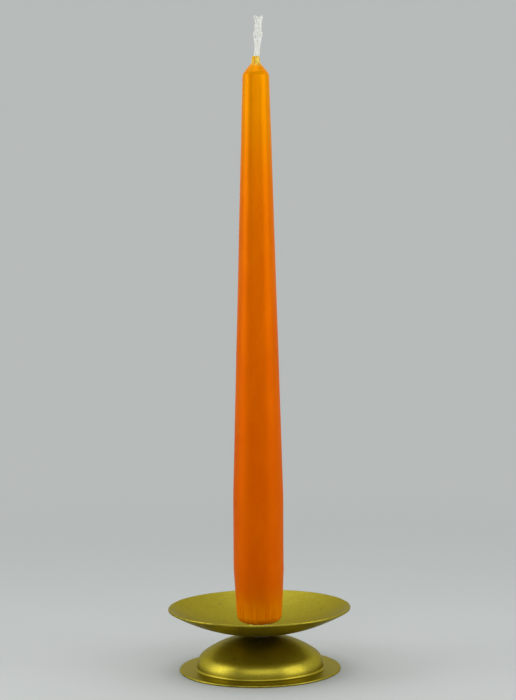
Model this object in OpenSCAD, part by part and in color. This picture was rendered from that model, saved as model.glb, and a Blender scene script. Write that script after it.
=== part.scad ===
// Candle holder with a taper candle on it.
// A shallow drip dish stands on a domed, flanged foot. A turned spike passes through both of
// them and a spacer, and a nut under the dome clamps the stack. The candle is pushed on to the
// spike, rests on the spike's collar and lifts off straight up.
// Millimetres, +Z up. Every piece is centred on the Z axis and the foot rests on z = 0.

/* [Foot] */
// Diameter over the flange that rests on the table
foot_d = 74; // [70:0.2:84]
// Diameter of the dome's upright wall
dome_d = 58; // [54:0.2:58.8]
// Height of the dome's crown
dome_h = 16.4; // [16.1:0.1:17.5]
// Outside radius of the dome's crown
crown_r = 44.7; // [44:0.1:48]
// Outside radius of the dome's shoulder
shoulder_r = 7; // [5:0.1:7.2]
// Radius of the hollow corner between the wall and the flange
fillet_r = 0.9; // [0.5:0.1:1]
// Thickness of the pressed sheet of the foot and the dish
sheet_t = 1; // [0.8:0.1:1.1]

/* [Drip dish] */
// Diameter over the dish's rim
dish_d = 83.6; // [76:0.2:96]
// Outside radius of the dish's curve
dish_r = 82.5; // [75:0.5:100]
// Thickness of the spacer between the dome and the dish
spacer_t = 1.3; // [1:0.1:3]
// Diameter of the spacer
spacer_d = 13.6; // [11:0.2:13.8]

/* [Spike] */
// Diameter of the spike's shank
spike_d = 4.4; // [4:0.1:5]
// Length of the spike above its collar
spike_len = 28; // [24:1:30]
// Length of the spike's tapered point
point_len = 12; // [8:1:14]
// Diameter of the collar that carries the candle
collar_d = 12; // [10:0.5:13]
// Height of the collar
collar_h = 3.9; // [3:0.1:6]
// Diameter of the threaded stud
stud_d = 5; // [4.8:0.1:5]

/* [Candle] */
// Greatest diameter of the candle
candle_d = 23; // [22:0.5:24]
// Length of the wax, from its flat bottom to the foot of its neck
candle_len = 253.8; // [180:0.1:300]
// Diameter just above the rounded bottom edge
bottom_d = 20.8; // [20:0.1:21]
// Diameter at the top of the long taper
top_d = 12.3; // [11:0.1:14]
// Radius of the rounded bottom edge
bottom_edge_r = 3.4; // [2:0.2:4]
// Diameter of the wax neck round the wick
neck_d = 3.9; // [3.6:0.1:4.4]
// Clearance all round the spike in its hole
spike_fit = 0.05; // [0.02:0.01:0.1]

/* [Wick] */
// Diameter of the braid inside the wax
wick_d = 2.5; // [2:0.1:3]
// Length of the loosened wick above the neck
wick_out = 18.2; // [10:0.2:30]
// Width of the loosened wick
wick_w = 3.6; // [3:0.1:4]
// Thickness of the loosened wick
wick_t = 2.2; // [1.5:0.1:2.6]

/* [Hidden] */
$fn = 160;

// Clearance of the holes that the stud passes through, and of the nut's thread
hole_gap = 0.1;
thread_gap = 0.05;
hole_r = stud_d / 2 + hole_gap;

// The dome and the dish are pressed flat where the spacer and the washers bear on them
flat_r = 7;

// Foot: the crown, the shoulder and the wall are arcs that run into each other
foot_r = foot_d / 2;
wall_r = dome_d / 2;
crown_z = dome_h - crown_r;
shoulder_x = wall_r - shoulder_r;
shoulder_tilt = acos(shoulder_x / (crown_r - shoulder_r));
shoulder_z = crown_z + (crown_r - shoulder_r) * sin(shoulder_tilt);
foot_flat_top = crown_z + sqrt(crown_r ^ 2 - flat_r ^ 2);
foot_flat_under = crown_z + sqrt((crown_r - sheet_t) ^ 2 - flat_r ^ 2);
corner_x = wall_r + fillet_r;
corner_z = sheet_t + fillet_r;

// Dish: one arc from the flat to the rounded rim
dish_under = foot_flat_top + spacer_t;
dish_z = dish_under + sqrt(dish_r ^ 2 - flat_r ^ 2);
dish_floor = dish_z - sqrt((dish_r - sheet_t) ^ 2 - flat_r ^ 2);
rim_path_r = dish_r - sheet_t / 2;
rim_tilt = asin((dish_d / 2 - sheet_t / 2) / rim_path_r);

// Spike and fasteners, from the collar down
collar_top = dish_floor + collar_h;
washer_d = 10;
washer_t = 1;
spring_d = 9.2;
spring_t = 1.2;
spring_slit = 1;
nut_af = 8;
nut_h = 4;
nut_chamfer = 0.6;
stud_end = 1.1;
chamfer = 0.5;
tip_r = 0.3;
washer_z = foot_flat_under - washer_t;
spring_z = washer_z - spring_t;
nut_z = spring_z - nut_h;
stud_z = nut_z - stud_end;

// Candle: heights are above its flat bottom
bottom_taper = 24.5;
full_to = 58;
top_cone_h = 4.4;
neck_h = 3.5;
top_edge_r = 2.5;
wick_start = spike_len + 4;

// Points of an arc about (x, z). One that carries on from another arc starts at its second point
function arc(x, z, r, a0, a1, steps = 8, first = 0) =
    [for (i = [first:steps])
        let (a = a0 + (a1 - a0) * i / steps)
            [x + r * cos(a), z + r * sin(a)]];

module ring(r_out, r_in, z, h) {
    translate([0, 0, z])
        difference() {
            cylinder(r = r_out, h = h);
            translate([0, 0, -1])
                cylinder(r = r_in, h = h + 2);
        }
}

// Outline from the bolt hole out along the underside, round the flange's edge and back on top
module foot() {
    edge_x = foot_r - sheet_t / 2;
    inner_r = crown_r - sheet_t;
    color("darkgoldenrod")
        rotate_extrude()
            polygon(concat(
                [[hole_r, foot_flat_under]],
                arc(0, crown_z, inner_r, acos(flat_r / inner_r), shoulder_tilt),
                arc(shoulder_x, shoulder_z, shoulder_r - sheet_t, shoulder_tilt, 0, first = 1),
                arc(corner_x, corner_z, fillet_r + sheet_t, 180, 270),
                arc(edge_x, sheet_t / 2, sheet_t / 2, -90, 90),
                arc(corner_x, corner_z, fillet_r, 270, 180),
                arc(shoulder_x, shoulder_z, shoulder_r, 0, shoulder_tilt),
                arc(0, crown_z, crown_r, shoulder_tilt, acos(flat_r / crown_r), first = 1),
                [[hole_r, foot_flat_top]]
            ));
}

// Outline from the bolt hole out along the underside, round the rim and back on top
module drip_dish() {
    inner_r = dish_r - sheet_t;
    rim_x = rim_path_r * sin(rim_tilt);
    rim_z = dish_z - rim_path_r * cos(rim_tilt);
    under = [asin(flat_r / dish_r) - 90, rim_tilt - 90];
    top = [rim_tilt - 90, asin(flat_r / inner_r) - 90];
    color("darkgoldenrod")
        rotate_extrude()
            polygon(concat(
                [[hole_r, dish_under]],
                arc(0, dish_z, dish_r, under[0], under[1], 12),
                arc(rim_x, rim_z, sheet_t / 2, rim_tilt - 90, rim_tilt + 90, first = 1),
                arc(0, dish_z, inner_r, top[0], top[1], 12, first = 1),
                [[hole_r, dish_floor]]
            ));
}

module spacer_washer() {
    color("dimgray")
        ring(spacer_d / 2, hole_r, foot_flat_top, spacer_t);
}

module spike() {
    color("silver")
        rotate_extrude()
            polygon([
                [0, stud_z],
                [stud_d / 2 - chamfer, stud_z],
                [stud_d / 2, stud_z + chamfer],
                [stud_d / 2, dish_floor],
                [collar_d / 2, dish_floor],
                [collar_d / 2, collar_top - chamfer],
                [collar_d / 2 - chamfer, collar_top],
                [spike_d / 2, collar_top],
                [spike_d / 2, collar_top + spike_len - point_len],
                [tip_r, collar_top + spike_len],
                [0, collar_top + spike_len]
            ]);
}

module flat_washer() {
    color("silver")
        ring(washer_d / 2, hole_r, washer_z, washer_t);
}

// Split ring, pressed flat by the nut
module spring_washer() {
    color("dimgray")
        difference() {
            ring(spring_d / 2, hole_r, spring_z, spring_t);
            translate([0, 0, spring_z + spring_t / 2])
                rotate([30, 0, 0])
                    translate([0, -spring_slit / 2, -spring_t])
                        cube([spring_d, spring_slit, 2 * spring_t]);
        }
}

module hex_nut() {
    across = nut_af / cos(30);
    color("silver")
        difference() {
            intersection() {
                translate([0, 0, nut_z])
                    cylinder(d = across, h = nut_h, $fn = 6);
                rotate_extrude()
                    polygon([
                        [0, nut_z],
                        [nut_af / 2, nut_z],
                        [across / 2 + chamfer, nut_z + nut_chamfer],
                        [across / 2 + chamfer, nut_z + nut_h - nut_chamfer],
                        [nut_af / 2, nut_z + nut_h],
                        [0, nut_z + nut_h]
                    ]);
            }
            translate([0, 0, nut_z - 1])
                cylinder(d = stud_d + 2 * thread_gap, h = nut_h + 2);
        }
}

// Outline from the axis at the bottom, out and up to the neck, less the hole for the spike and
// the passage for the wick
module candle() {
    edge_x = bottom_d / 2 - bottom_edge_r;
    cone_z = candle_len - top_cone_h;
    cone_tilt = atan(top_cone_h / (top_d / 2 - neck_d / 2));
    round_x = top_d / 2 - top_edge_r;
    round_z = cone_z - top_edge_r * tan((90 - cone_tilt) / 2);
    fit_r = spike_d / 2 + spike_fit;
    color("darkorange")
        translate([0, 0, collar_top])
            rotate_extrude()
                polygon(concat(
                    [[fit_r, 0]],
                    arc(edge_x, bottom_edge_r, bottom_edge_r, -90, 0),
                    [[candle_d / 2, bottom_taper], [candle_d / 2, full_to]],
                    arc(round_x, round_z, top_edge_r, 0, 90 - cone_tilt, 4),
                    [
                        [neck_d / 2, candle_len],
                        [neck_d / 2, candle_len + neck_h],
                        [wick_d / 2, candle_len + neck_h],
                        [wick_d / 2, wick_start],
                        [0, wick_start],
                        [0, spike_len + 1],
                        [tip_r + spike_fit, spike_len + spike_fit],
                        [fit_r, spike_len - point_len]
                    ]
                ));
}

// Braid in the wax, and the flat, loosened end that stands out of it
module wick() {
    side = wick_w - wick_t;
    neck_z = candle_len + neck_h;
    color("white")
        translate([0, 0, collar_top]) {
            translate([0, 0, wick_start])
                cylinder(d = wick_d, h = neck_z - wick_start);
            translate([0, 0, neck_z])
                linear_extrude(wick_out) {
                    square([side, wick_t], center = true);
                    for (s = [-1, 1])
                        translate([s * side / 2, 0])
                            circle(d = wick_t);
                }
        }
}

foot();
spacer_washer();
drip_dish();
spike();
flat_washer();
spring_washer();
hex_nut();
candle();
wick();
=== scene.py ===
"""The looks of a lacquered candle holder and its taper candle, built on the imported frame.

Everything is in metres, +Z up, with the foot on z = 0 and every piece centred on the Z axis.
"""

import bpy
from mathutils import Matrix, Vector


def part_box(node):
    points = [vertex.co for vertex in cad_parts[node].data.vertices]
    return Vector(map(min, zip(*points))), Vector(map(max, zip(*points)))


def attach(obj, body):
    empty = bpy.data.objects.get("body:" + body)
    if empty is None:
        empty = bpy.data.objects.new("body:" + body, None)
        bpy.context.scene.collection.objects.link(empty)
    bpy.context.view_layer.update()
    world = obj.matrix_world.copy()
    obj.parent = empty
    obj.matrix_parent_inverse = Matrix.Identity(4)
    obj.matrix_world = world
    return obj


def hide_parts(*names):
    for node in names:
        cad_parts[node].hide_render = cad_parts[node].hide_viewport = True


bl_info = {
    "name": "Candle Holder",
    "version": (1, 0, 0),
    "blender": (4, 5, 0),
    "location": "View3D > Sidebar > Candle Holder",
    "description": "Builds a lacquered candle holder with a taper candle round its packed frame",
    "category": "Add Mesh",
}

import math

import bmesh
import bpy
from bpy.props import FloatProperty, FloatVectorProperty, IntProperty, PointerProperty
from mathutils import Matrix, Vector

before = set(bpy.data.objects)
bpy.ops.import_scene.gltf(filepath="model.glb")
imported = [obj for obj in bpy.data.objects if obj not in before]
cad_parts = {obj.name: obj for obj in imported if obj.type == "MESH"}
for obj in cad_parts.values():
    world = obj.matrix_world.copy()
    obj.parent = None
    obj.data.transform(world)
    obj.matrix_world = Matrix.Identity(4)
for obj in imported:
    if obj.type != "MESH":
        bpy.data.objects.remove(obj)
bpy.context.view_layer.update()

MM = 0.001
TURN = 2 * math.pi

FOOT_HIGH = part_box("foot")[1]
DISH_LOW, DISH_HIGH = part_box("drip_dish")
SPACER_LOW, SPACER_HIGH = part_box("spacer_washer")
SPIKE_LOW, SPIKE_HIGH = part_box("spike")
CANDLE_LOW, CANDLE_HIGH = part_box("candle")
WICK_LOW, WICK_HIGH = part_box("wick")


# ---------------------------------------------------------------- settings


def length(name, description, default):
    return FloatProperty(
        name=name, description=description, default=default, min=0, unit="LENGTH", precision=5
    )


def count(name, description, default, least):
    return IntProperty(name=name, description=description, default=default, min=least)


def watts(name, description, default):
    return FloatProperty(name=name, description=description, default=default, min=0, unit="POWER")


def colour(name, description, default):
    return FloatVectorProperty(
        name=name, description=description, default=default, size=3, min=0, max=1, subtype="COLOR"
    )


class HolderSettings(bpy.types.PropertyGroup):
    sheet: length("Sheet", "Thickness of the pressed sheet", 1 * MM)
    crown: length("Crown radius", "Outside radius of the dome's crown", 44.7 * MM)
    shoulder: length("Shoulder radius", "Outside radius of the dome's shoulder", 7 * MM)
    wall: length("Wall radius", "Outside radius of the dome's upright wall", 29 * MM)
    corner: length("Corner radius", "Hollow corner between wall and flange", 0.9 * MM)
    dish: length("Dish curve", "Outside radius of the dish's curve", 82.5 * MM)
    flat: length("Flat radius", "Where the pressed flats of dome and dish end", 7 * MM)
    hole: length("Bolt hole", "Radius of the hole for the stud", 2.6 * MM)
    wave: length("Unevenness", "How far the trimmed sheet wanders", 0.10 * MM)
    segments: count("Segments", "Facets round each pressing", 256, 32)


class SpikeSettings(bpy.types.PropertyGroup):
    shank: length("Shank radius", "Radius of the spike in the candle", 2.2 * MM)
    point: length("Point", "Length of the tapered point", 12 * MM)
    stud: length("Stud radius", "Radius over the stud's thread", 2.5 * MM)
    collar: length("Collar radius", "Radius of the collar under the candle", 6 * MM)
    pitch: length("Pitch", "Pitch of the thread", 0.8 * MM)
    thread: length("Thread depth", "Depth of the thread", 0.45 * MM)


class CandleSettings(bpy.types.PropertyGroup):
    bottom: length("Bottom radius", "Radius above the rounded bottom edge", 10.4 * MM)
    edge: length("Bottom edge", "Radius of the rounded bottom edge", 3.4 * MM)
    top: length("Top radius", "Radius at the end of the long taper", 6.15 * MM)
    neck: length("Neck radius", "Radius of the wax round the wick", 1.95 * MM)
    neck_height: length("Neck height", "Height of the wax neck", 3.5 * MM)
    cone_height: length("Cone height", "Height of the cone under the neck", 4.4 * MM)
    top_edge: length("Top edge", "Radius of the round edge under the cone", 4.2 * MM)
    foot_taper: length("Foot taper", "Height of the taper at the foot", 24.5 * MM)
    full_to: length("Full to", "Height up to which the candle has its full width", 58 * MM)
    passage: length("Wick passage", "Radius of the passage for the wick", 1.25 * MM)
    fit: length("Spike fit", "Clearance round the spike", 0.05 * MM)
    lean: length("Lean", "How far the top stands off the axis", 2.2 * MM)
    lumps: length("Lumps", "Height of the slow waves in the dipped surface", 0.10 * MM)


class WickSettings(bpy.types.PropertyGroup):
    yarn: length("Yarn radius", "Radius of one yarn of the braid", 0.16 * MM)
    yarns: count("Yarns", "Yarns in the braid", 88, 8)
    pitch: length("Lay", "Length over which a yarn goes once round the braid", 22 * MM)
    hairs: count("Hairs", "Loose fibres on the braid", 700, 0)
    hair: length("Hair length", "Greatest length of a loose fibre", 0.7 * MM)
    hair_radius: length("Hair radius", "Radius of a loose fibre", 0.018 * MM)
    seed: count("Seed", "Seed of the yarns and loose fibres", 7, 0)


class FinishSettings(bpy.types.PropertyGroup):
    gold: colour("Gold", "Lacquer on the pressings", (0.45, 0.38, 0.034))
    gold_dark: colour("Dark gold", "Thin or aged patches of the lacquer", (0.32, 0.26, 0.015))
    stain: colour("Stain", "Specks and the trimmed edges of the sheet", (0.15, 0.10, 0.026))
    edge: colour("Edge gold", "Tint of the lacquer seen at a low angle", (0.53, 0.50, 0.38))
    wax_deep: colour("Deep wax", "Dye where the candle is reddest", (0.75, 0.12, 0.0))
    # Where the candle is yellowest, at the thin end and the foot, this yellow is partly painted light
    # and a painted reflection of the gold dish
    wax_light: colour("Light wax", "Dye where the candle is yellowest", (0.82, 0.30, 0.0))
    neck: colour("Neck wax", "Wax on the wick's neck", (0.78, 0.35, 0.0))
    wax_rim: colour("Wax rim", "Thin wax that ends on the wick", (0.80, 0.58, 0.12))
    cotton: colour("Cotton", "Bleached cotton of the wick", (0.90, 0.91, 0.88))
    zinc: colour("Zinc", "Plating of spike, washer and nut", (0.72, 0.73, 0.72))
    # On the spacer this dark colour is painted shade: it stands for the deep shade in the gap between
    # dome and dish
    steel: colour("Dark steel", "Oiled steel of the spacer and the spring washer", (0.07, 0.065, 0.06))


class StageSettings(bpy.types.PropertyGroup):
    floor: colour("Floor", "Reflectance of the floor's paper", (0.52, 0.546, 0.542))
    room: colour("Room", "Tone of the room round the stage", (0.472, 0.494, 0.489))
    lit: colour("Lit side", "Light from the side behind the object", (0.80, 0.81, 0.80))
    unlit: colour("Unlit side", "Light from the side that the object faces", (0.27, 0.27, 0.26))
    right: watts("Right light", "Power of the right softbox", 2.9)
    left: watts("Left light", "Power of the left softbox", 2.9)
    front: watts("Front light", "Power of the softbox in front", 1.8)
    top: watts("Top light", "Power of the softbox straight above", 1.0)
    back: watts("Back light", "Power of the softbox high behind", 1.1)


# ---------------------------------------------------------------- node trees


class Graph:
    """Adds nodes to a tree. A value for a socket may be a number, a node or another node's output."""

    def __init__(self, tree):
        self.tree = tree

    def feed(self, socket, value):
        if isinstance(value, bpy.types.Node):
            value = value.outputs[0]
        if isinstance(value, bpy.types.NodeSocket):
            self.tree.links.new(value, socket)
        else:
            socket.default_value = value

    def add(self, kind, sockets=None, **settings):
        node = self.tree.nodes.new(kind)
        for name, value in settings.items():
            setattr(node, name, value)
        for name, value in (sockets or {}).items():
            self.feed(node.inputs[name], value)
        return node

    def math(self, operation, *values, clamp=False):
        node = self.add("ShaderNodeMath", operation=operation, use_clamp=clamp)
        for socket, value in zip(node.inputs, values):
            self.feed(socket, value)
        return node.outputs[0]

    def sum(self, *values):
        total = values[0]
        for value in values[1:]:
            total = self.math("ADD", total, value)
        return total

    def product(self, *values):
        total = values[0]
        for value in values[1:]:
            total = self.math("MULTIPLY", total, value)
        return total

    def vector(self, operation, *values):
        node = self.add("ShaderNodeVectorMath", operation=operation)
        for socket, value in zip(node.inputs, values):
            self.feed(socket, value)
        return node.outputs["Value"] if operation in ("LENGTH", "DOT_PRODUCT") else node.outputs[0]

    def scaled(self, value, by):
        node = self.add("ShaderNodeVectorMath", {"Scale": by}, operation="SCALE")
        self.feed(node.inputs[0], value)
        return node.outputs[0]

    def xyz(self, x=0.0, y=0.0, z=0.0):
        return self.add("ShaderNodeCombineXYZ", {"X": x, "Y": y, "Z": z}).outputs[0]

    def split(self, value):
        return self.add("ShaderNodeSeparateXYZ", {"Vector": value}).outputs

    def span(self, value, low, high, to_low=0.0, to_high=1.0, smooth=False):
        kind = "SMOOTHSTEP" if smooth else "LINEAR"
        node = self.add("ShaderNodeMapRange", interpolation_type=kind)
        for socket, number in zip(node.inputs, (value, low, high, to_low, to_high)):
            self.feed(socket, number)
        return node.outputs[0]

    def noise(self, place, scale, detail=2.0, roughness=0.5):
        sockets = {"Vector": place, "Scale": scale, "Detail": detail, "Roughness": roughness}
        return self.add("ShaderNodeTexNoise", sockets).outputs[0]

    def blend(self, factor, a, b, kind="MIX"):
        node = self.add("ShaderNodeMix", data_type="RGBA", blend_type=kind)
        factor_in, a_in, b_in = node.inputs[0], node.inputs[6], node.inputs[7]
        self.feed(factor_in, factor)
        self.feed(a_in, a)
        self.feed(b_in, b)
        return node.outputs[2]

    def curve(self, value, points):
        """A smooth curve through a few (position, value) points, both from 0 to 1."""
        node = self.add("ShaderNodeFloatCurve", {"Value": value})
        line = node.mapping.curves[0]
        line.points[0].location = points[0]
        line.points[1].location = points[-1]
        for place in points[1:-1]:
            line.points.new(*place)
        node.mapping.update()
        return node.outputs[0]


def geometry_tree(name, sockets):
    """A Geometry Nodes tree with a geometry input and output and these named inputs."""
    tree = bpy.data.node_groups.new(name, "GeometryNodeTree")
    tree.is_modifier = True
    tree.interface.new_socket("Geometry", in_out="INPUT", socket_type="NodeSocketGeometry")
    for label, kind, value in sockets:
        socket = tree.interface.new_socket(label, in_out="INPUT", socket_type=f"NodeSocket{kind}")
        if value is not None:
            socket.default_value = value
    tree.interface.new_socket("Material", in_out="INPUT", socket_type="NodeSocketMaterial")
    tree.interface.new_socket("Geometry", in_out="OUTPUT", socket_type="NodeSocketGeometry")
    graph = Graph(tree)
    return graph, graph.add("NodeGroupInput").outputs


def end_tree(graph, inputs, geometry):
    """Every tree ends in plain, smooth geometry with its material."""
    real = graph.add("GeometryNodeRealizeInstances", {"Geometry": geometry})
    smooth = graph.add("GeometryNodeSetShadeSmooth", {"Geometry": real})
    painted = graph.add(
        "GeometryNodeSetMaterial", {"Geometry": smooth, "Material": inputs["Material"]}
    )
    graph.add("NodeGroupOutput", {"Geometry": painted})
    return graph.tree


def turned_tree():
    """Turns an outline, given as points in the XZ plane joined in a row, about the Z axis.

    Slow noise then draws the surface in and down a little, and the part above Lean Start leans
    towards +X until it is Lean off the axis at Lean End.
    """
    graph, inputs = geometry_tree(
        "Turned piece",
        [
            ("Segments", "Int", 192),
            ("Unevenness", "Float", 0.0),
            ("Draw", "Vector", (1.0, 1.0, 0.0)),
            ("Wave Size", "Vector", (1.0, 1.0, 1.0)),
            ("Seed", "Float", 1.0),
            ("Lean", "Float", 0.0),
            ("Lean Start", "Float", 0.0),
            ("Lean End", "Float", 1.0),
        ],
    )
    outline = inputs["Geometry"]
    points = graph.add("GeometryNodeAttributeDomainSize", {"Geometry": outline}).outputs[0]
    round_points = graph.math("ADD", inputs["Segments"], 1)
    grid = graph.add("GeometryNodeMeshGrid", {"Vertices X": points, "Vertices Y": round_points})
    index = graph.add("GeometryNodeInputIndex")
    row = graph.math("FLOOR", graph.math("DIVIDE", index, round_points))
    column = graph.math("SUBTRACT", index, graph.product(row, round_points))
    angle = graph.product(TURN, graph.math("DIVIDE", column, inputs["Segments"]))
    sample = graph.add(
        "GeometryNodeSampleIndex", {"Geometry": outline, "Index": row}, data_type="FLOAT_VECTOR"
    )
    position = graph.add("GeometryNodeInputPosition")
    graph.feed(sample.inputs["Value"], position)
    radius, _, height = graph.split(sample)
    swept = graph.xyz(
        graph.product(radius, graph.math("COSINE", angle)),
        graph.product(radius, graph.math("SINE", angle)),
        height,
    )
    shaped = graph.add("GeometryNodeSetPosition", {"Geometry": grid, "Position": swept})
    welded = graph.add("GeometryNodeMergeByDistance", {"Geometry": shaped, "Distance": 0.002 * MM})

    waves = graph.vector("DIVIDE", position, inputs["Wave Size"])
    moved = graph.vector("ADD", waves, graph.xyz(inputs["Seed"], inputs["Seed"], inputs["Seed"]))
    depth = graph.span(graph.noise(moved, 1.0, 1.0), 0.25, 0.75)
    x, y, z = graph.split(position)
    out = graph.vector("NORMALIZE", graph.xyz(x, y, 0.0))
    inward = graph.vector("SUBTRACT", graph.xyz(0.0, 0.0, -1.0), out)
    pull = graph.scaled(
        graph.vector("MULTIPLY", inward, inputs["Draw"]), graph.product(depth, inputs["Unevenness"])
    )
    rise = graph.span(z, inputs["Lean Start"], inputs["Lean End"])
    lean = graph.xyz(graph.product(rise, inputs["Lean"]))
    uneven = graph.add(
        "GeometryNodeSetPosition", {"Geometry": welded, "Offset": graph.vector("ADD", pull, lean)}
    )
    return end_tree(graph, inputs, uneven)


def thread_tree():
    """Cuts a screw thread into a turned stud below Thread Top, where it is thicker than Core."""
    graph, inputs = geometry_tree(
        "Screw thread",
        [
            ("Pitch", "Float", 0.8 * MM),
            ("Depth", "Float", 0.4 * MM),
            ("Core", "Float", 2.0 * MM),
            ("Thread Top", "Float", 0.0),
        ],
    )
    x, y, z = graph.split(graph.add("GeometryNodeInputPosition"))
    around = graph.math("DIVIDE", graph.math("ARCTAN2", y, x), TURN)
    turns = graph.math("SUBTRACT", graph.math("DIVIDE", z, inputs["Pitch"]), around)
    ridge = graph.math("PINGPONG", turns, 0.5)
    groove = graph.span(ridge, 0.08, 0.42)
    radius = graph.vector("LENGTH", graph.xyz(x, y, 0.0))
    thick = graph.math("GREATER_THAN", radius, inputs["Core"])
    below = graph.math("LESS_THAN", z, inputs["Thread Top"])
    cut = graph.product(groove, inputs["Depth"], thick, below)
    factor = graph.math("DIVIDE", graph.math("MULTIPLY", cut, -1.0), radius)
    offset = graph.scaled(graph.xyz(x, y, 0.0), factor)
    threaded = graph.add(
        "GeometryNodeSetPosition", {"Geometry": inputs["Geometry"], "Offset": offset}
    )
    return end_tree(graph, inputs, threaded)


def braid_tree():
    """A flat braid of fine yarns that folds, slackens and ends in two frayed lobes as it rises.

    Yarns of even number make the braid's skin and cross each other at a slant. The others fill it.
    """
    graph, inputs = geometry_tree(
        "Braided wick",
        [
            ("Start", "Float", 0.0),
            ("End", "Float", 1.0),
            ("Yarns", "Int", 72),
            ("Yarn Radius", "Float", 0.13 * MM),
            ("Pitch", "Float", 22 * MM),
            ("Base X", "Float", 0.0),
            ("Seed", "Int", 1),
        ],
    )
    rise = graph.math("SUBTRACT", inputs["End"], inputs["Start"])
    line = graph.add("GeometryNodeCurvePrimitiveLine", {"End": graph.xyz(0.0, 0.0, 1.0)})
    fine = graph.add("GeometryNodeResampleCurve", {"Curve": line, "Count": 100})
    copies = graph.add(
        "GeometryNodeDuplicateElements",
        {"Geometry": fine, "Amount": inputs["Yarns"]},
        domain="SPLINE",
    )
    yarn = copies.outputs["Duplicate Index"]
    chance = graph.add(
        "FunctionNodeRandomValue", {"ID": yarn, "Seed": inputs["Seed"]}, data_type="FLOAT"
    ).outputs[1]
    odd = graph.math("MODULO", yarn, 2.0)
    slant = graph.sum(graph.product(graph.math("GREATER_THAN", chance, 0.5), 2.0), -1.0)
    along = graph.add("GeometryNodeSplineParameter").outputs["Factor"]
    turns = graph.product(slant, graph.math("DIVIDE", graph.product(along, rise), inputs["Pitch"]))
    share = graph.math("DIVIDE", yarn, inputs["Yarns"])
    angle = graph.product(TURN, graph.sum(share, turns))
    side = graph.math("COSINE", angle)
    face = graph.math("SINE", angle)
    inner = graph.sum(1.0, graph.product(odd, graph.sum(chance, 0.1), -0.8))

    # The two lobes part at the tip, and the yarns between them end lower
    apart = graph.span(along, 0.86, 1.0, smooth=True)
    outer = graph.math("ABSOLUTE", side)
    notch = graph.product(graph.math("SUBTRACT", 1.0, outer), 0.035)
    fray = graph.sum(notch, graph.product(chance, 0.03))
    height = graph.product(along, rise, graph.math("SUBTRACT", 1.0, fray))

    # Half width, half thickness, twist and sideways drift, each over the wick's whole height
    width = graph.product(graph.curve(along, WICK_WIDTH), 2.0 * MM)
    thick = graph.product(graph.curve(along, WICK_THICKNESS), 1.0 * MM)
    twist = graph.product(graph.curve(along, WICK_TWIST), math.pi)
    drift = graph.product(graph.curve(along, WICK_DRIFT), 2.0 * MM)
    spread = graph.sum(side, graph.product(apart, graph.math("SIGN", side), 0.2))
    across = graph.product(width, inner, spread)
    through = graph.product(thick, inner, face)
    cosine = graph.math("COSINE", twist)
    sine = graph.math("SINE", twist)
    x = graph.sum(
        inputs["Base X"],
        drift,
        graph.product(across, cosine),
        graph.product(through, sine, -1.0),
    )
    y = graph.sum(graph.product(across, sine), graph.product(through, cosine))
    place = graph.xyz(x, y, graph.sum(inputs["Start"], height))
    own = graph.vector("ADD", place, graph.xyz(graph.product(yarn, 0.01)))
    stray = graph.add("ShaderNodeTexNoise", {"Vector": own, "Scale": 900.0, "Detail": 1.0})
    wander = graph.scaled(
        graph.vector("SUBTRACT", stray.outputs["Color"], (0.5, 0.5, 0.5)), 0.35 * MM
    )
    place = graph.vector("ADD", place, graph.vector("MULTIPLY", wander, (1.0, 1.0, 0.0)))
    laid = graph.add("GeometryNodeSetPosition", {"Geometry": copies, "Position": place})
    section = graph.add(
        "GeometryNodeCurvePrimitiveCircle", {"Resolution": 6, "Radius": inputs["Yarn Radius"]}
    )
    tubes = graph.add(
        "GeometryNodeCurveToMesh", {"Curve": laid, "Profile Curve": section, "Fill Caps": True}
    )
    return end_tree(graph, inputs, tubes)


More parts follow.
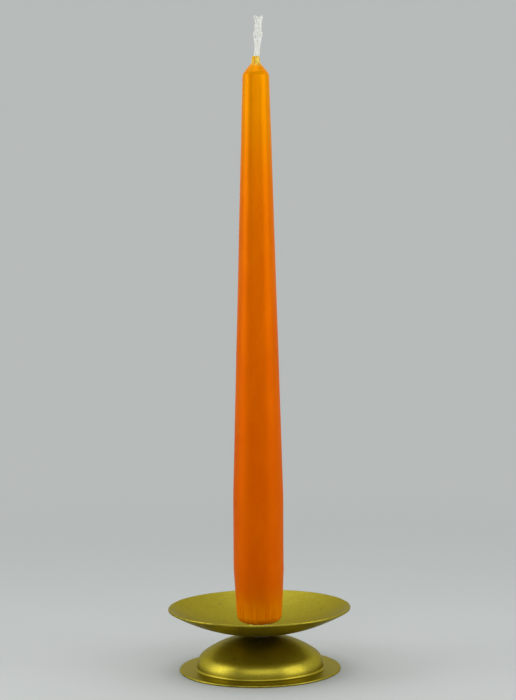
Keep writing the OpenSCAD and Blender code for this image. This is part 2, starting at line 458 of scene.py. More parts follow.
def hair_tree():
    """Short, bent fibres that stand off a braid, only between the heights Bare and Top."""
    graph, inputs = geometry_tree(
        "Loose fibres",
        [
            ("Count", "Int", 400),
            ("Length", "Float", 0.8 * MM),
            ("Radius", "Float", 0.02 * MM),
            ("Bare", "Float", 0.0),
            ("Top", "Float", 1.0),
            ("Seed", "Int", 1),
        ],
    )
    braid = inputs["Geometry"]
    area = graph.add("GeometryNodeAttributeStatistic", {"Geometry": braid}, domain="FACE")
    face = graph.add("GeometryNodeInputMeshFaceArea")
    graph.feed(area.inputs["Attribute"], face)
    density = graph.math("DIVIDE", inputs["Count"], area.outputs["Sum"])
    spread = graph.add(
        "GeometryNodeDistributePointsOnFaces",
        {"Mesh": braid, "Density": density, "Seed": inputs["Seed"]},
    )
    height = graph.split(graph.add("GeometryNodeInputPosition"))[2]
    inside = graph.math(
        "MULTIPLY",
        graph.math("GREATER_THAN", height, inputs["Bare"]),
        graph.math("LESS_THAN", height, inputs["Top"]),
    )
    kept = graph.add(
        "GeometryNodeSeparateGeometry",
        {"Geometry": spread.outputs["Points"], "Selection": inside},
        domain="POINT",
    )
    arc = graph.add(
        "GeometryNodeCurvePrimitiveBezierSegment",
        {
            "Resolution": 4,
            "Start": (0.0, 0.0, 0.0),
            "Start Handle": (0.0, 0.0, 0.4),
            "End Handle": (0.15, 0.0, 0.7),
            "End": (0.5, 0.1, 0.9),
        },
    )
    sized = graph.add("GeometryNodeTransform", {"Geometry": arc})
    reach = inputs["Length"]
    graph.feed(sized.inputs["Scale"], graph.xyz(reach, reach, reach))
    section = graph.add(
        "GeometryNodeCurvePrimitiveCircle", {"Resolution": 3, "Radius": inputs["Radius"]}
    )
    hair = graph.add(
        "GeometryNodeCurveToMesh", {"Curve": sized, "Profile Curve": section, "Fill Caps": True}
    )
    tilt = graph.add(
        "FunctionNodeRandomValue", {"Seed": inputs["Seed"]}, data_type="FLOAT_VECTOR"
    )
    graph.feed(tilt.inputs[0], (-0.9, -0.9, 0.0))
    graph.feed(tilt.inputs[1], (0.9, 0.9, TURN))
    turn = graph.add(
        "FunctionNodeRotateRotation",
        {"Rotation": spread.outputs["Rotation"]},
        rotation_space="LOCAL",
    )
    spin = graph.add("FunctionNodeEulerToRotation", {"Euler": tilt.outputs[0]})
    graph.feed(turn.inputs["Rotate By"], spin)
    size = graph.add("FunctionNodeRandomValue", {"Seed": inputs["Seed"]}, data_type="FLOAT")
    graph.feed(size.inputs[2], 0.35)
    graph.feed(size.inputs[3], 1.0)
    hairs = graph.add(
        "GeometryNodeInstanceOnPoints",
        {"Points": kept, "Instance": hair, "Rotation": turn, "Scale": size.outputs[1]},
    )
    joined = graph.add("GeometryNodeJoinGeometry")
    graph.feed(joined.inputs[0], braid)
    graph.feed(joined.inputs[0], hairs)
    return end_tree(graph, inputs, joined)


# Length of the braid that is inside the neck
WICK_SUNK = 3 * MM

# The wick from the neck's foot to its tip: it leaves the wax round and narrow, opens into a fold,
# is narrower above it and ends in two frayed lobes. Each pair is (share of the height, share of
# the greatest value).
WICK_WIDTH = [
    (0.0, 0.50), (0.14, 0.54), (0.31, 0.52), (0.45, 0.68), (0.54, 0.82), (0.63, 0.94), (0.67, 0.76),
    (0.74, 0.74), (0.83, 0.72), (0.93, 0.84), (1.0, 0.82),
]
WICK_THICKNESS = [(0.0, 0.70), (0.31, 0.60), (0.63, 0.85), (0.67, 0.60), (1.0, 0.85)]
WICK_TWIST = [(0.0, 0.0), (0.45, 0.04), (0.63, 0.0), (0.67, 0.10), (1.0, 0.12)]
WICK_DRIFT = [(0.0, 0.08), (0.14, 0.20), (0.33, 0.42), (0.64, 0.58), (1.0, 0.72)]


# ---------------------------------------------------------------- mesh helpers

# Faces within the first angle are one flat, and edges past the others are bevelled or shaded sharp
LEVEL = math.radians(1)
CORNER = math.radians(25)
CREASE = math.radians(35)

# Width of the ring round a pressing where the lacquer has gone brown
TRIMMED = 0.6 * MM


class Outline:
    """Points of a turned piece's outline, each a radius and a height."""

    def __init__(self, radius, height):
        self.points = [(radius, height)]

    def to(self, radius, height, step=1.0 * MM, ease=0.15 * MM):
        """A straight stretch, with a point near each end to keep the shading of flats flat."""
        r0, z0 = self.points[-1]
        span = math.hypot(radius - r0, height - z0)
        shares = [1.0]
        if span > 3 * ease:
            count = max(1, round(span / step))
            inner = [ease / span + (1 - 2 * ease / span) * i / count for i in range(count + 1)]
            shares = inner + shares
        self.points += [(r0 + (radius - r0) * s, z0 + (height - z0) * s) for s in shares]
        return self

    def arc(self, radius, height, size, start, end, step=6.0):
        """An arc of radius size about (radius, height), between angles in degrees."""
        count = max(2, math.ceil(abs(end - start) / step))
        for i in range(count + 1):
            angle = math.radians(start + (end - start) * i / count)
            point = (radius + size * math.cos(angle), height + size * math.sin(angle))
            if math.dist(point, self.points[-1]) > 0.003 * MM:
                self.points.append(point)
        return self

    def closed(self):
        self.points.append(self.points[0])
        return self


def set_input(modifier, name, value):
    """Sets a Geometry Nodes input by its socket's identifier."""
    for item in modifier.node_group.interface.items_tree:
        if item.item_type == "SOCKET" and item.in_out == "INPUT" and item.name == name:
            modifier[item.identifier] = value
            return
    raise ValueError(f"{modifier.node_group.name} has no input named {name}")


def grown(obj, tree, **values):
    """obj with a Geometry Nodes tree applied: its mesh becomes the tree's result."""
    modifier = obj.modifiers.new(tree.name, "NODES")
    modifier.node_group = tree
    for name, value in values.items():
        set_input(modifier, name.replace("_", " "), value)
    depsgraph = bpy.context.evaluated_depsgraph_get()
    mesh = bpy.data.meshes.new_from_object(obj.evaluated_get(depsgraph), depsgraph=depsgraph)
    obj.modifiers.clear()
    old = obj.data
    obj.data = mesh
    mesh.name = obj.name
    bpy.data.meshes.remove(old)
    return obj


def new_object(name, vertices=(), edges=(), faces=()):
    mesh = bpy.data.meshes.new(name)
    mesh.from_pydata(vertices, edges, faces)
    obj = bpy.data.objects.new(name, mesh)
    bpy.context.scene.collection.objects.link(obj)
    return obj


def face_outwards(obj):
    """Turns the faces of a closed mesh outwards."""
    shape = bmesh.new()
    shape.from_mesh(obj.data)
    bmesh.ops.recalc_face_normals(shape, faces=shape.faces)
    shape.to_mesh(obj.data)
    shape.free()


def turned(name, outline, material, **values):
    """A turned piece from its outline."""
    points = [(r, 0.0, z) for r, z in outline.points]
    edges = [(i, i + 1) for i in range(len(points) - 1)]
    obj = new_object(name, points, edges)
    grown(obj, tree_named("Turned piece", turned_tree), Material=material, **values)
    face_outwards(obj)
    return obj


def tree_named(name, make):
    """The node tree of that name, made when it is first asked for."""
    return bpy.data.node_groups.get(name) or make()


def refined(node, material, bevel):
    """A copy of a CAD node with merged faces and bevelled edges."""
    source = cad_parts[node]
    obj = new_object(f"{node}_finished")
    obj.data = source.data.copy()
    shape = bmesh.new()
    shape.from_mesh(obj.data)
    bmesh.ops.remove_doubles(shape, verts=shape.verts, dist=0.001 * MM)
    bmesh.ops.dissolve_limit(shape, angle_limit=LEVEL, verts=shape.verts, edges=shape.edges)
    sharp = [e for e in shape.edges if e.is_manifold and e.calc_face_angle(0) > CORNER]
    bmesh.ops.bevel(
        shape, geom=sharp, offset=bevel, segments=3, profile=0.5, affect="EDGES", clamp_overlap=True
    )
    for face in shape.faces:
        face.smooth = True
    bmesh.ops.triangulate(shape, faces=[f for f in shape.faces if len(f.verts) > 4])
    shape.to_mesh(obj.data)
    shape.free()
    if obj.data.has_custom_normals:
        obj.data.normals_split_custom_set([(0, 0, 0)] * len(obj.data.loops))
    obj.data.set_sharp_from_angle(angle=CREASE)
    obj.data.materials.clear()
    obj.data.materials.append(material)
    return obj


def mark_edge(obj, radius, width):
    """Marks the outermost ring of a pressing, where the sheet was trimmed."""
    marks = obj.data.attributes.new("edge", "FLOAT", "POINT")
    for vertex, mark in zip(obj.data.vertices, marks.data):
        inside = radius - math.hypot(vertex.co.x, vertex.co.y)
        mark.value = max(0.0, min(1.0, 1.0 - inside / width))
    return obj


def flat_thickness(size):
    """Thickness of the dish's pressed flat, a little more than the sheet's."""
    outer = math.sqrt(size.dish**2 - size.flat**2)
    inner = math.sqrt((size.dish - size.sheet) ** 2 - size.flat**2)
    return outer - inner


def placed(obj, body, slot, *nodes):
    """Hands a finished piece to the frame: the body it rides on and the nodes it stands for."""
    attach(obj, body)
    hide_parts(*nodes)
    return obj


# ---------------------------------------------------------------- materials

# Colour over the candle's height, from its bottom to the neck's top: (share of the height, value).
# The yellow is partly dye and partly painted light: at the foot it is a painted reflection of the
# gold dish, and towards the thin end it is painted light, for the light from above shining through
# the wax. The second curve is painted shade, a grey that darkens the wax a little at some heights.
WAX_YELLOW = [
    (0.0, 0.50), (0.025, 0.46), (0.05, 0.26), (0.08, 0.08), (0.2, 0.04), (0.5, 0.13), (0.75, 0.32),
    (0.9, 0.80), (1.0, 1.0),
]
WAX_PAINTED_SHADE = [(0.0, 1.0), (0.14, 0.94), (0.5, 0.97), (0.8, 0.97), (0.95, 1.0), (1.0, 1.0)]

# The softboxes point at this place
LIGHTS_AIM = Vector((0, 0, 0.10))

# Camera: focal length in mm on a 36 mm frame, place in metres, tip and turn in degrees
LENS = 97.766
CAMERA_PLACE = (0.00122, -0.8624, 0.1998)
CAMERA_PITCH = 3.52
CAMERA_ROLL = 0.883

# The floor's paper is plain as far as the first radius and has the room's tone past the second
PAPER_NEAR = 0.12
PAPER_FAR = 0.6


def shader(name):
    """A new material's graph, its shader and its object coordinates."""
    material = bpy.data.materials.new(name)
    material.use_nodes = True
    graph = Graph(material.node_tree)
    bsdf = material.node_tree.nodes["Principled BSDF"]
    place = graph.add("ShaderNodeTexCoord").outputs["Object"]
    return material, graph, bsdf, place


def set_shader(graph, bsdf, **values):
    for name, value in values.items():
        graph.feed(bsdf.inputs[name.replace("_", " ")], value)


def rgba(values):
    return (*values, 1.0)


def lacquered_gold(finish):
    """Gold metallic lacquer: fine flake in a satin film, thinner in patches and brown at edges."""
    material, graph, bsdf, place = shader("lacquered_gold")
    flake = graph.noise(place, 2600.0, 3.0, 0.7)
    grain = graph.noise(place, 1050.0, 2.0, 0.65)
    mottle = graph.noise(place, 420.0, 2.0, 0.6)
    patch = graph.noise(place, 45.0, 2.0)
    uneven = graph.sum(
        graph.product(graph.span(flake, 0.3, 0.7), 0.20),
        graph.product(graph.span(grain, 0.3, 0.7), 0.45),
        graph.product(graph.span(mottle, 0.3, 0.7), 0.22),
        graph.product(graph.span(patch, 0.35, 0.65), 0.13),
    )
    base = graph.blend(uneven, rgba(finish.gold), rgba(finish.gold_dark))
    stain = graph.span(graph.noise(place, 260.0, 1.0), 0.745, 0.79, 0.0, 0.5)
    base = graph.blend(stain, base, rgba(finish.stain))
    edge = graph.add("ShaderNodeAttribute", attribute_name="edge").outputs["Fac"]
    worn = graph.product(edge, graph.span(mottle, 0.45, 0.65, 0.0, 0.45))
    base = graph.blend(worn, base, rgba(finish.stain))
    rough = graph.span(graph.sum(flake, grain), 0.7, 1.3, 0.32, 0.42)
    fine = graph.add("ShaderNodeBump", {"Strength": 0.3, "Distance": 0.03 * MM, "Height": flake})
    peel = graph.add(
        "ShaderNodeBump",
        {"Strength": 0.35, "Distance": 0.05 * MM, "Height": grain, "Normal": fine},
    )
    set_shader(
        graph,
        bsdf,
        Base_Color=base,
        Metallic=1.0,
        Specular_Tint=rgba(finish.edge),
        Roughness=rough,
        Coat_Weight=0.15,
        Coat_Roughness=0.4,
        Coat_IOR=1.45,
        Normal=peel,
    )
    return material


def zinc_plate(finish):
    """Bright zinc plating over turning marks."""
    material, graph, bsdf, place = shader("zinc_plate")
    _, _, z = graph.split(place)
    rings = graph.noise(graph.xyz(0.0, 0.0, graph.product(z, 9000.0)), 1.0, 2.0)
    cloud = graph.noise(place, 500.0, 3.0)
    tint = graph.blend(graph.span(cloud, 0.35, 0.7), rgba(finish.zinc), rgba((0.55, 0.56, 0.50)))
    marks = graph.add("ShaderNodeBump", {"Strength": 0.3, "Distance": 0.01 * MM, "Height": rings})
    set_shader(
        graph,
        bsdf,
        Base_Color=tint,
        Metallic=1.0,
        Roughness=graph.span(cloud, 0.3, 0.7, 0.22, 0.36),
        Normal=marks,
    )
    return material


def oiled_steel_and_painted_shade(finish):
    """Dark oiled steel. On the spacer it is painted shade, for the deep shade between dome and dish.
    """
    material, graph, bsdf, place = shader("oiled_steel_and_painted_shade")
    cloud = graph.noise(place, 900.0, 4.0)
    tint = graph.blend(graph.span(cloud, 0.3, 0.7), rgba(finish.steel), rgba((0.14, 0.13, 0.12)))
    pits = graph.add("ShaderNodeBump", {"Strength": 0.3, "Distance": 0.02 * MM, "Height": cloud})
    set_shader(graph, bsdf, Base_Color=tint, Metallic=1.0, Roughness=0.42, Normal=pits)
    return material


def candle_wax(finish, low, high):
    """Dyed wax with a satin skin, yellower at the thin end, in the neck and at the foot. The yellowing
    at the thin end is partly painted light, for the light from above shining through the wax; the
    yellow glow at the foot is a painted reflection of the gold dish.

    low and high are the heights of the candle's bottom and of its neck's top.
    """
    material, graph, bsdf, place = shader("candle_wax")
    x, y, z = graph.split(place)
    rise = graph.span(z, low, high)
    # Yellow along the height: partly dye, partly painted light at the thin end and a painted
    # reflection of the gold dish at the foot
    yellow = graph.curve(rise, WAX_YELLOW)
    wax_colour_and_painted_light = graph.blend(yellow, rgba(finish.wax_deep), rgba(finish.wax_light))
    # Painted shade: a grey over the height that darkens the wax a little above the foot and along its
    # middle
    light = graph.curve(rise, WAX_PAINTED_SHADE)
    shade = graph.add("ShaderNodeCombineColor", {"Red": light, "Green": light, "Blue": light})
    wax_colour_and_painted_light = graph.blend(1.0, wax_colour_and_painted_light, shade, "MULTIPLY")
    cloud = graph.noise(graph.vector("MULTIPLY", place, (1.0, 1.0, 0.3)), 130.0, 3.0)
    deeper = graph.blend(1.0, wax_colour_and_painted_light, rgba((0.90, 0.80, 0.75)), "MULTIPLY")
    wax_colour_and_painted_light = graph.blend(graph.span(cloud, 0.35, 0.7, 0.0, 0.8), wax_colour_and_painted_light, deeper)

    # The foot glows in upright streaks, a painted glow and reflection of the gold dish; cream runs
    # down the neck and its rim thins out on the wick
    streak = graph.noise(graph.vector("MULTIPLY", place, (1.0, 1.0, 0.05)), 900.0, 2.0)
    foot = graph.span(z, low + 12 * MM, low + 4 * MM, 0.0, 0.85)
    neck = graph.span(z, high - 5 * MM, high - 3 * MM)
    # Painted glow: the wax made brighter than its dye, in streaks at the foot
    lit = graph.blend(1.0, wax_colour_and_painted_light, rgba((1.25, 1.55, 1.0)), "MULTIPLY")
    wax_colour_and_painted_light = graph.blend(graph.product(foot, graph.span(streak, 0.35, 0.65)), wax_colour_and_painted_light, lit)
    cream = graph.blend(graph.span(streak, 0.40, 0.60), rgba(finish.neck), rgba(finish.wax_rim))
    wax_colour_and_painted_light = graph.blend(neck, wax_colour_and_painted_light, cream)
    top = graph.sum(z, graph.product(x, -0.25), graph.product(streak, 1.2 * MM))
    rim = graph.span(top, high - 0.2 * MM, high + 0.7 * MM)
    wax_colour_and_painted_light = graph.blend(rim, wax_colour_and_painted_light, rgba(finish.wax_rim))

    # Fine skin all over, rings that fade in towards the thin end, and shallow dents
    ripple = graph.noise(graph.vector("MULTIPLY", place, (0.35, 0.35, 1.6)), 700.0, 2.0)
    upper = graph.span(rise, 0.55, 0.95, 0.25, 1.0)
    fine = graph.noise(place, 1500.0, 3.0)
    skin = graph.add("ShaderNodeBump", {"Strength": 0.2, "Distance": 0.03 * MM, "Height": fine})
    rings = graph.add(
        "ShaderNodeBump",
        {
            "Strength": 0.35,
            "Distance": 0.12 * MM,
            "Height": graph.product(ripple, upper),
            "Normal": skin,
        },
    )
    dents = graph.add(
        "ShaderNodeBump", {"Strength": 0.3, "Distance": 0.4 * MM, "Height": cloud, "Normal": rings}
    )
    rough = graph.span(rise, 0.5, 0.9, 0.42, 0.30)
    set_shader(
        graph,
        bsdf,
        Base_Color=wax_colour_and_painted_light,
        Roughness=rough,
        IOR=1.44,
        Metallic=0.2,
        Specular_IOR_Level=0.04,
        Specular_Tint=rgba((1.0, 0.55, 0.05)),
        Subsurface_Weight=0.35,
        Subsurface_Radius=(1.0, 0.32, 0.05),
        Subsurface_Scale=3.0 * MM,
        Normal=dents,
    )
    return material


def cotton(finish):
    """Bleached cotton yarn."""
    material, graph, bsdf, place = shader("cotton_yarn")
    fibre = graph.noise(graph.vector("MULTIPLY", place, (1.0, 1.0, 0.3)), 6000.0, 3.0)
    soft = graph.noise(place, 900.0, 2.0)
    grey = graph.blend(1.0, rgba(finish.cotton), rgba((0.90, 0.90, 0.86)), "MULTIPLY")
    tint = graph.blend(graph.span(soft, 0.3, 0.7), rgba(finish.cotton), grey)
    threads = graph.add(
        "ShaderNodeBump", {"Strength": 0.5, "Distance": 0.04 * MM, "Height": fibre}
    )
    set_shader(
        graph,
        bsdf,
        Base_Color=tint,
        Roughness=0.85,
        Sheen_Weight=0.6,
        Sheen_Roughness=0.5,
        Normal=threads,
    )
    return material


def paper(settings):
    """Matt paper that takes the object's shadow near it and fades into the room's tone far off."""
    material, graph, bsdf, place = shader("floor_paper")
    tooth = graph.noise(place, 1800.0, 2.0)
    cloud = graph.noise(place, 12.0, 2.0)
    light = rgba(settings.floor)
    dim = graph.blend(1.0, light, rgba((0.985, 0.985, 0.985)), "MULTIPLY")
    tint = graph.blend(cloud, light, dim)
    grain = graph.add("ShaderNodeBump", {"Strength": 0.1, "Distance": 0.02 * MM, "Height": tooth})
    set_shader(graph, bsdf, Base_Color=tint, Roughness=0.9, Specular_IOR_Level=0.2, Normal=grain)
    far = graph.span(graph.vector("LENGTH", place), PAPER_NEAR, PAPER_FAR, smooth=True)
    glow = graph.add("ShaderNodeEmission", {"Color": rgba(settings.room), "Strength": 1.0})
    mixed = graph.add("ShaderNodeMixShader", {"Fac": far})
    graph.feed(mixed.inputs[1], bsdf)
    graph.feed(mixed.inputs[2], glow)
    output = material.node_tree.nodes["Material Output"]
    graph.feed(output.inputs["Surface"], mixed)
    return material


def room(settings):
    """An even backdrop all round, whose light on the object comes mostly from behind it."""
    world = bpy.data.worlds.new("room")
    world.use_nodes = True
    graph = Graph(world.node_tree)
    background = world.node_tree.nodes["Background"]
    _, depth, _ = graph.split(graph.add("ShaderNodeTexCoord").outputs["Generated"])
    lit = graph.blend(
        graph.span(depth, -0.5, 0.6, smooth=True), rgba(settings.unlit), rgba(settings.lit)
    )
    seen = graph.add("ShaderNodeLightPath").outputs["Is Camera Ray"]
    graph.feed(background.inputs["Color"], graph.blend(seen, lit, rgba(settings.room)))
    return world


def kept_material(name, make, *arguments):
    """The material of that name, made when it is first asked for."""
    return bpy.data.materials.get(name) or make(*arguments)


# ---------------------------------------------------------------- operators


class CANDLEHOLDER_OT_foot(bpy.types.Operator):
    """Presses the domed foot with its flange"""

    bl_idname = "candle_holder.foot"
    bl_label = "Foot"

    def execute(self, context):
        scene = context.scene
        size = scene.holder
        rim = FOOT_HIGH.x
        t = size.sheet
        crown_z = FOOT_HIGH.z - math.sqrt(size.crown**2 - size.flat**2)
        shoulder_x = size.wall - size.shoulder
        tilt = math.degrees(math.acos(shoulder_x / (size.crown - size.shoulder)))
        shoulder_z = crown_z + (size.crown - size.shoulder) * math.sin(math.radians(tilt))
        flat_out = math.degrees(math.acos(size.flat / size.crown))
        flat_in = math.degrees(math.acos(size.flat / (size.crown - t)))
        under = crown_z + math.sqrt((size.crown - t) ** 2 - size.flat**2)
        turn_x = size.wall + size.corner
        turn_z = t + size.corner
        edge = rim - t / 2
        outline = Outline(size.hole, under)
        outline.to(size.flat, under)
        outline.arc(0, crown_z, size.crown - t, flat_in, tilt, 1.2)
        outline.arc(shoulder_x, shoulder_z, size.shoulder - t, tilt, 0)
        outline.to(size.wall - t, turn_z)
        outline.arc(turn_x, turn_z, size.corner + t, 180, 270)
        outline.to(edge, 0)
        outline.arc(edge, t / 2, t / 2, -90, 90, 12)
        outline.to(turn_x, t)
        outline.arc(turn_x, turn_z, size.corner, 270, 180)
        outline.to(size.wall, shoulder_z)
        outline.arc(shoulder_x, shoulder_z, size.shoulder, 0, tilt)
        outline.arc(0, crown_z, size.crown, tilt, flat_out, 1.2)
        outline.to(size.hole, FOOT_HIGH.z)
        outline.closed()
        foot = turned(
            "foot_pressing",
            outline,
            kept_material("lacquered_gold", lacquered_gold, scene.finish),
            Segments=size.segments,
            Unevenness=size.wave,
            Draw=(1.0, 1.0, 0.0),
            Wave_Size=(9 * MM, 9 * MM, 30 * MM),
            Seed=3.0,
        )
        mark_edge(foot, rim, TRIMMED)
        placed(foot, "holder", "gold_lacquer", "foot")
        return {"FINISHED"}


class CANDLEHOLDER_OT_dish(bpy.types.Operator):
    """Presses the shallow drip dish"""

    bl_idname = "candle_holder.dish"
    bl_label = "Drip dish"

    def execute(self, context):
        scene = context.scene
        size = scene.holder
        t = size.sheet
        centre = DISH_LOW.z + math.sqrt(size.dish**2 - size.flat**2)
        floor = centre - math.sqrt((size.dish - t) ** 2 - size.flat**2)
        path = size.dish - t / 2
        tilt = math.degrees(math.asin((DISH_HIGH.x - t / 2) / path))
        flat_out = math.degrees(math.asin(size.flat / size.dish))
        flat_in = math.degrees(math.asin(size.flat / (size.dish - t)))
        rim_x = path * math.sin(math.radians(tilt))
        rim_z = centre - path * math.cos(math.radians(tilt))
        outline = Outline(size.hole, DISH_LOW.z)
        outline.to(size.flat, DISH_LOW.z)
        outline.arc(0, centre, size.dish, flat_out - 90, tilt - 90, 0.7)
        outline.arc(rim_x, rim_z, t / 2, tilt - 90, tilt + 90, 12)
        outline.arc(0, centre, size.dish - t, tilt - 90, flat_in - 90, 0.7)
        outline.to(size.hole, floor)
        outline.closed()
        dish = turned(
            "drip_dish_pressing",
            outline,
            kept_material("lacquered_gold", lacquered_gold, scene.finish),
            Segments=size.segments,
            Unevenness=size.wave,
            Draw=(0.6, 0.6, 1.0),
            Wave_Size=(11 * MM, 11 * MM, 30 * MM),
            Seed=8.0,
        )
        mark_edge(dish, DISH_HIGH.x, TRIMMED)
        placed(dish, "holder", "gold_lacquer", "drip_dish")
        return {"FINISHED"}


class CANDLEHOLDER_OT_spacer(bpy.types.Operator):
    """Turns the spacer between dome and dish"""

    bl_idname = "candle_holder.spacer"
    bl_label = "Spacer"

    def execute(self, context):
        scene = context.scene
        inner = scene.holder.hole
        outer, top = SPACER_HIGH.x, SPACER_HIGH.z
        bottom = SPACER_LOW.z
        edge = 0.3 * MM
        outline = Outline(inner, bottom)
        outline.to(outer - edge, bottom)
        outline.arc(outer - edge, bottom + edge, edge, -90, 0, 15)
        outline.to(outer, top - edge)
        outline.arc(outer - edge, top - edge, edge, 0, 90, 15)
        outline.to(inner, top)
        outline.to(inner, bottom)
        # The spacer is made dark as painted shade: the gap between dome and dish is in deep shade, and
        # its own colour is not known
        dark = kept_material("oiled_steel_and_painted_shade", oiled_steel_and_painted_shade, scene.finish)
        spacer = turned("spacer_turned", outline, dark, Segments=96)
        placed(spacer, "holder", "dark_steel", "spacer_washer")
        return {"FINISHED"}


class CANDLEHOLDER_OT_spike(bpy.types.Operator):
    """Turns the spike with its collar and cuts the stud's thread"""

    bl_idname = "candle_holder.spike"
    bl_label = "Spike"

    def execute(self, context):
        scene = context.scene
        size = scene.spike
        under, top = SPACER_HIGH.z, CANDLE_LOW.z
        seat = under + flat_thickness(scene.holder)
        tip = 0.3 * MM
        chamfer = 0.5 * MM
        shank_top = SPIKE_HIGH.z - size.point
        outline = Outline(0, SPIKE_LOW.z)
        outline.to(size.stud - chamfer, SPIKE_LOW.z)
        outline.to(size.stud, SPIKE_LOW.z + chamfer, 0.1 * MM)
        outline.to(size.stud, seat, 0.1 * MM, 0.01 * MM)
        outline.to(size.collar, seat)
        outline.to(size.collar, top - chamfer)
        outline.arc(size.collar - chamfer, top - chamfer, chamfer, 0, 90, 15)
        outline.to(size.shank, top)
        outline.to(size.shank, shank_top)
        outline.to(tip, SPIKE_HIGH.z - 0.1 * MM)
        outline.to(0, SPIKE_HIGH.z)
        zinc = kept_material("zinc_plate", zinc_plate, scene.finish)
        spike = turned("spike_turned", outline, zinc, Segments=96)
        grown(
            spike,
            tree_named("Screw thread", thread_tree),
            Pitch=size.pitch,
            Depth=size.thread,
            Core=size.stud - 0.6 * chamfer,
            Thread_Top=seat - 0.2 * MM,
            Material=zinc,
        )
        placed(spike, "holder", "plated_steel", "spike")
        return {"FINISHED"}


class CANDLEHOLDER_OT_fasteners(bpy.types.Operator):
    """Finishes the washers and the nut under the dome"""

    bl_idname = "candle_holder.fasteners"
    bl_label = "Washers and nut"

    def execute(self, context):
        scene = context.scene
        zinc = kept_material("zinc_plate", zinc_plate, scene.finish)
        dark = kept_material("oiled_steel_and_painted_shade", oiled_steel_and_painted_shade, scene.finish)
        rows = [
            ("flat_washer", zinc, "plated_steel"),
            ("spring_washer", dark, "dark_steel"),
            ("hex_nut", zinc, "plated_steel"),
        ]
        for node, material, slot in rows:
            piece = refined(node, material, 0.08 * MM)
            placed(piece, "holder", slot, node)
        return {"FINISHED"}


class CANDLEHOLDER_OT_candle(bpy.types.Operator):
    """Casts the taper candle"""

    bl_idname = "candle_holder.candle"
    bl_label = "Candle"

    def execute(self, context):
        scene = context.scene
        size = scene.candle
        low, high = CANDLE_LOW.z, CANDLE_HIGH.z
        full = CANDLE_HIGH.x
        hole = scene.spike.shank + size.fit
        hole_top = SPIKE_HIGH.z + 1 * MM

        # The neck stands on a cone, which a round edge joins to the long taper
        neck_foot = high - size.neck_height
        cone_foot = neck_foot - size.cone_height
        cone_tilt = math.degrees(math.atan2(size.cone_height, size.top - size.neck))
        round_x = size.top - size.top_edge
        round_z = cone_foot - size.top_edge * math.tan(math.radians((90 - cone_tilt) / 2))
        fillet = 0.9 * MM
        lip = 0.7 * MM
        outline = Outline(hole, low)
        outline.to(size.bottom - size.edge, low)
        outline.arc(size.bottom - size.edge, low + size.edge, size.edge, -90, 3, 8)
        outline.to(full, low + size.foot_taper, 1.5 * MM, 1 * MM)
        outline.to(full, low + size.full_to, 1.5 * MM, 1 * MM)
        outline.to(size.top, round_z, 1.5 * MM, 1 * MM)
        outline.arc(round_x, round_z, size.top_edge, 0, 90 - cone_tilt)
        outline.to(size.neck + fillet, neck_foot - 0.6 * MM, 0.4 * MM)
        outline.to(size.neck + 0.35 * fillet, neck_foot + 0.1 * MM, 0.2 * MM)
        outline.to(size.neck, neck_foot + fillet, 0.2 * MM)
        outline.to(size.neck - 0.12 * MM, high - 0.9 * MM, 0.3 * MM)
        outline.arc(size.neck - lip - 0.12 * MM, high - 0.75 * MM, lip, 5, 80, 15)
        outline.to(size.passage, high - 0.3 * MM)
        outline.to(size.passage, WICK_LOW.z, 4 * MM)
        outline.to(0, WICK_LOW.z)
        core = Outline(0, hole_top)
        core.to(0.35 * MM, SPIKE_HIGH.z + 0.05 * MM)
        core.to(hole, SPIKE_HIGH.z - scene.spike.point)
        core.to(hole, low, 2 * MM)
        outline.points += core.points
        wax = kept_material("candle_wax", candle_wax, scene.finish, low, high)
        candle = turned(
            "candle_wax_taper",
            outline,
            wax,
            Segments=144,
            Unevenness=size.lumps,
            Draw=(1.0, 1.0, 0.0),
            Wave_Size=(14 * MM, 14 * MM, 26 * MM),
            Seed=5.0,
            Lean=size.lean,
            Lean_Start=SPIKE_HIGH.z,
            Lean_End=high,
        )
        placed(candle, "candle", "orange_wax", "candle")
        return {"FINISHED"}


class CANDLEHOLDER_OT_wick(bpy.types.Operator):
    """Plaits the cotton wick"""

    bl_idname = "candle_holder.wick"
    bl_label = "Wick"

    def execute(self, context):
        scene = context.scene
        size = scene.wick
        yarn = kept_material("cotton_yarn", cotton, scene.finish)
        start = CANDLE_HIGH.z - WICK_SUNK
        wick = new_object("wick_braid")
        grown(
            wick,
            tree_named("Braided wick", braid_tree),
            Start=start,
            End=WICK_HIGH.z - size.yarn,
            Yarns=size.yarns,
            Yarn_Radius=size.yarn,
            Pitch=size.pitch,
            Base_X=scene.candle.lean,
            Seed=size.seed,
            Material=yarn,
        )
        grown(
            wick,
            tree_named("Loose fibres", hair_tree),
            Count=size.hairs,
            Length=size.hair,
            Radius=size.hair_radius,
            Bare=CANDLE_HIGH.z + 0.6 * MM,
            Top=WICK_HIGH.z - 1.2 * MM,
            Seed=size.seed,
            Material=yarn,
        )
        placed(wick, "candle", "cotton_wick", "wick")
        return {"FINISHED"}


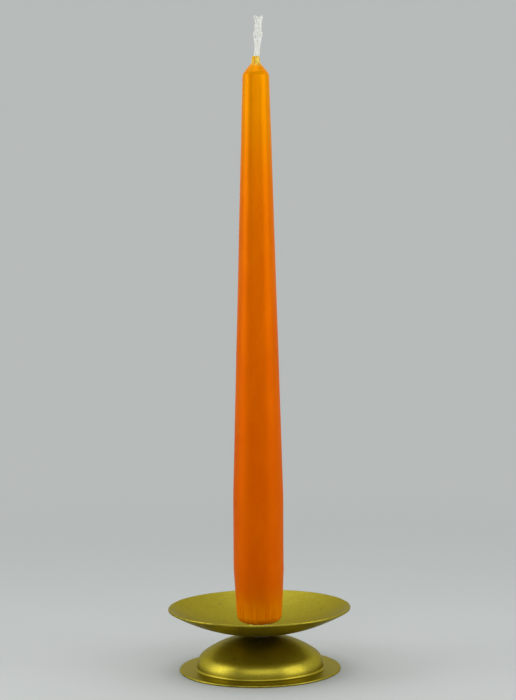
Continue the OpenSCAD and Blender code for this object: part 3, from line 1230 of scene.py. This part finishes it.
class CANDLEHOLDER_OT_stage(bpy.types.Operator):
    """Sets up the floor, the lights and the camera"""

    bl_idname = "candle_holder.stage"
    bl_label = "Stage"

    def execute(self, context):
        scene = context.scene
        settings = scene.stage
        self.backdrop(settings)
        self.lights(settings)
        self.camera(scene)
        scene.view_settings.view_transform = "Standard"
        return {"FINISHED"}

    def backdrop(self, settings):
        """A round floor, the same from every side."""
        height = -0.05 * MM
        outline = Outline(0, height)
        outline.points += [(radius, height) for radius in (0.1, 0.3, 0.6, 1.2, 3.0)]
        floor = turned("stage_floor", outline, paper(settings), Segments=96)
        if floor.data.polygons[0].normal.z < 0:
            floor.data.flip_normals()

    def lights(self, settings):
        """Softboxes at both sides, in front, straight above and high behind, in an even room."""
        softboxes = [
            ("right_softbox", 66, 0.80, 0.34, (0.60, 0.70), settings.right),
            ("left_softbox", -80, 0.80, 0.34, (0.52, 0.70), settings.left),
            ("front_softbox", 3, 0.70, 0.46, (0.90, 0.50), settings.front),
            ("top_softbox", 0, 0.02, 1.00, (0.40, 0.40), settings.top),
            ("back_softbox", -150, 0.30, 1.00, (0.80, 0.80), settings.back),
        ]
        for name, azimuth, distance, height, size, power in softboxes:
            lamp = bpy.data.lights.new(name, "AREA")
            lamp.shape = "RECTANGLE"
            lamp.size, lamp.size_y = size
            lamp.energy = power
            turn = math.radians(azimuth)
            place = Vector((distance * math.sin(turn), -distance * math.cos(turn), height))
            obj = bpy.data.objects.new(name, lamp)
            obj.location = place
            obj.rotation_euler = (LIGHTS_AIM - place).to_track_quat("-Z", "Y").to_euler()
            obj.visible_camera = False
            bpy.context.scene.collection.objects.link(obj)
        bpy.context.scene.world = room(settings)

    def camera(self, scene):
        """A long lens a little above the dish, tipped down and turned slightly."""
        data = bpy.data.cameras.new("camera")
        data.sensor_width = 36.0
        data.lens = LENS
        data.clip_start = 0.05
        data.clip_end = 20
        obj = bpy.data.objects.new("camera", data)
        scene.collection.objects.link(obj)
        pitch = math.radians(CAMERA_PITCH)
        roll = math.radians(CAMERA_ROLL)
        aim = Matrix.Rotation(math.pi / 2 - pitch, 4, "X") @ Matrix.Rotation(-roll, 4, "Z")
        obj.matrix_world = Matrix.Translation(CAMERA_PLACE) @ aim
        scene.camera = obj


class CANDLEHOLDER_PT_panel(bpy.types.Panel):
    """Lists the pieces and the stage in the order they are made"""

    bl_idname = "CANDLEHOLDER_PT_panel"
    bl_label = "Candle Holder"
    bl_space_type = "VIEW_3D"
    bl_region_type = "UI"
    bl_category = "Candle Holder"

    def draw(self, context):
        for operator in OPERATORS:
            self.layout.operator(operator.bl_idname)
        for name in SETTINGS:
            box = self.layout.box()
            group = getattr(context.scene, name)
            for prop in group.__annotations__:
                box.prop(group, prop)


SETTINGS = {
    "holder": HolderSettings,
    "spike": SpikeSettings,
    "candle": CandleSettings,
    "wick": WickSettings,
    "finish": FinishSettings,
    "stage": StageSettings,
}
OPERATORS = [
    CANDLEHOLDER_OT_foot,
    CANDLEHOLDER_OT_dish,
    CANDLEHOLDER_OT_spacer,
    CANDLEHOLDER_OT_spike,
    CANDLEHOLDER_OT_fasteners,
    CANDLEHOLDER_OT_candle,
    CANDLEHOLDER_OT_wick,
    CANDLEHOLDER_OT_stage,
]


def register():
    for group in SETTINGS.values():
        bpy.utils.register_class(group)
    for name, group in SETTINGS.items():
        setattr(bpy.types.Scene, name, PointerProperty(type=group))
    for operator in OPERATORS:
        bpy.utils.register_class(operator)
    bpy.utils.register_class(CANDLEHOLDER_PT_panel)


def unregister():
    bpy.utils.unregister_class(CANDLEHOLDER_PT_panel)
    for operator in reversed(OPERATORS):
        bpy.utils.unregister_class(operator)
    for name in SETTINGS:
        delattr(bpy.types.Scene, name)
    for group in reversed(SETTINGS.values()):
        bpy.utils.unregister_class(group)


def main():
    register()
    for operator in OPERATORS:
        group, name = operator.bl_idname.split(".")
        getattr(getattr(bpy.ops, group), name)()


if __name__ == "__main__":
    main()
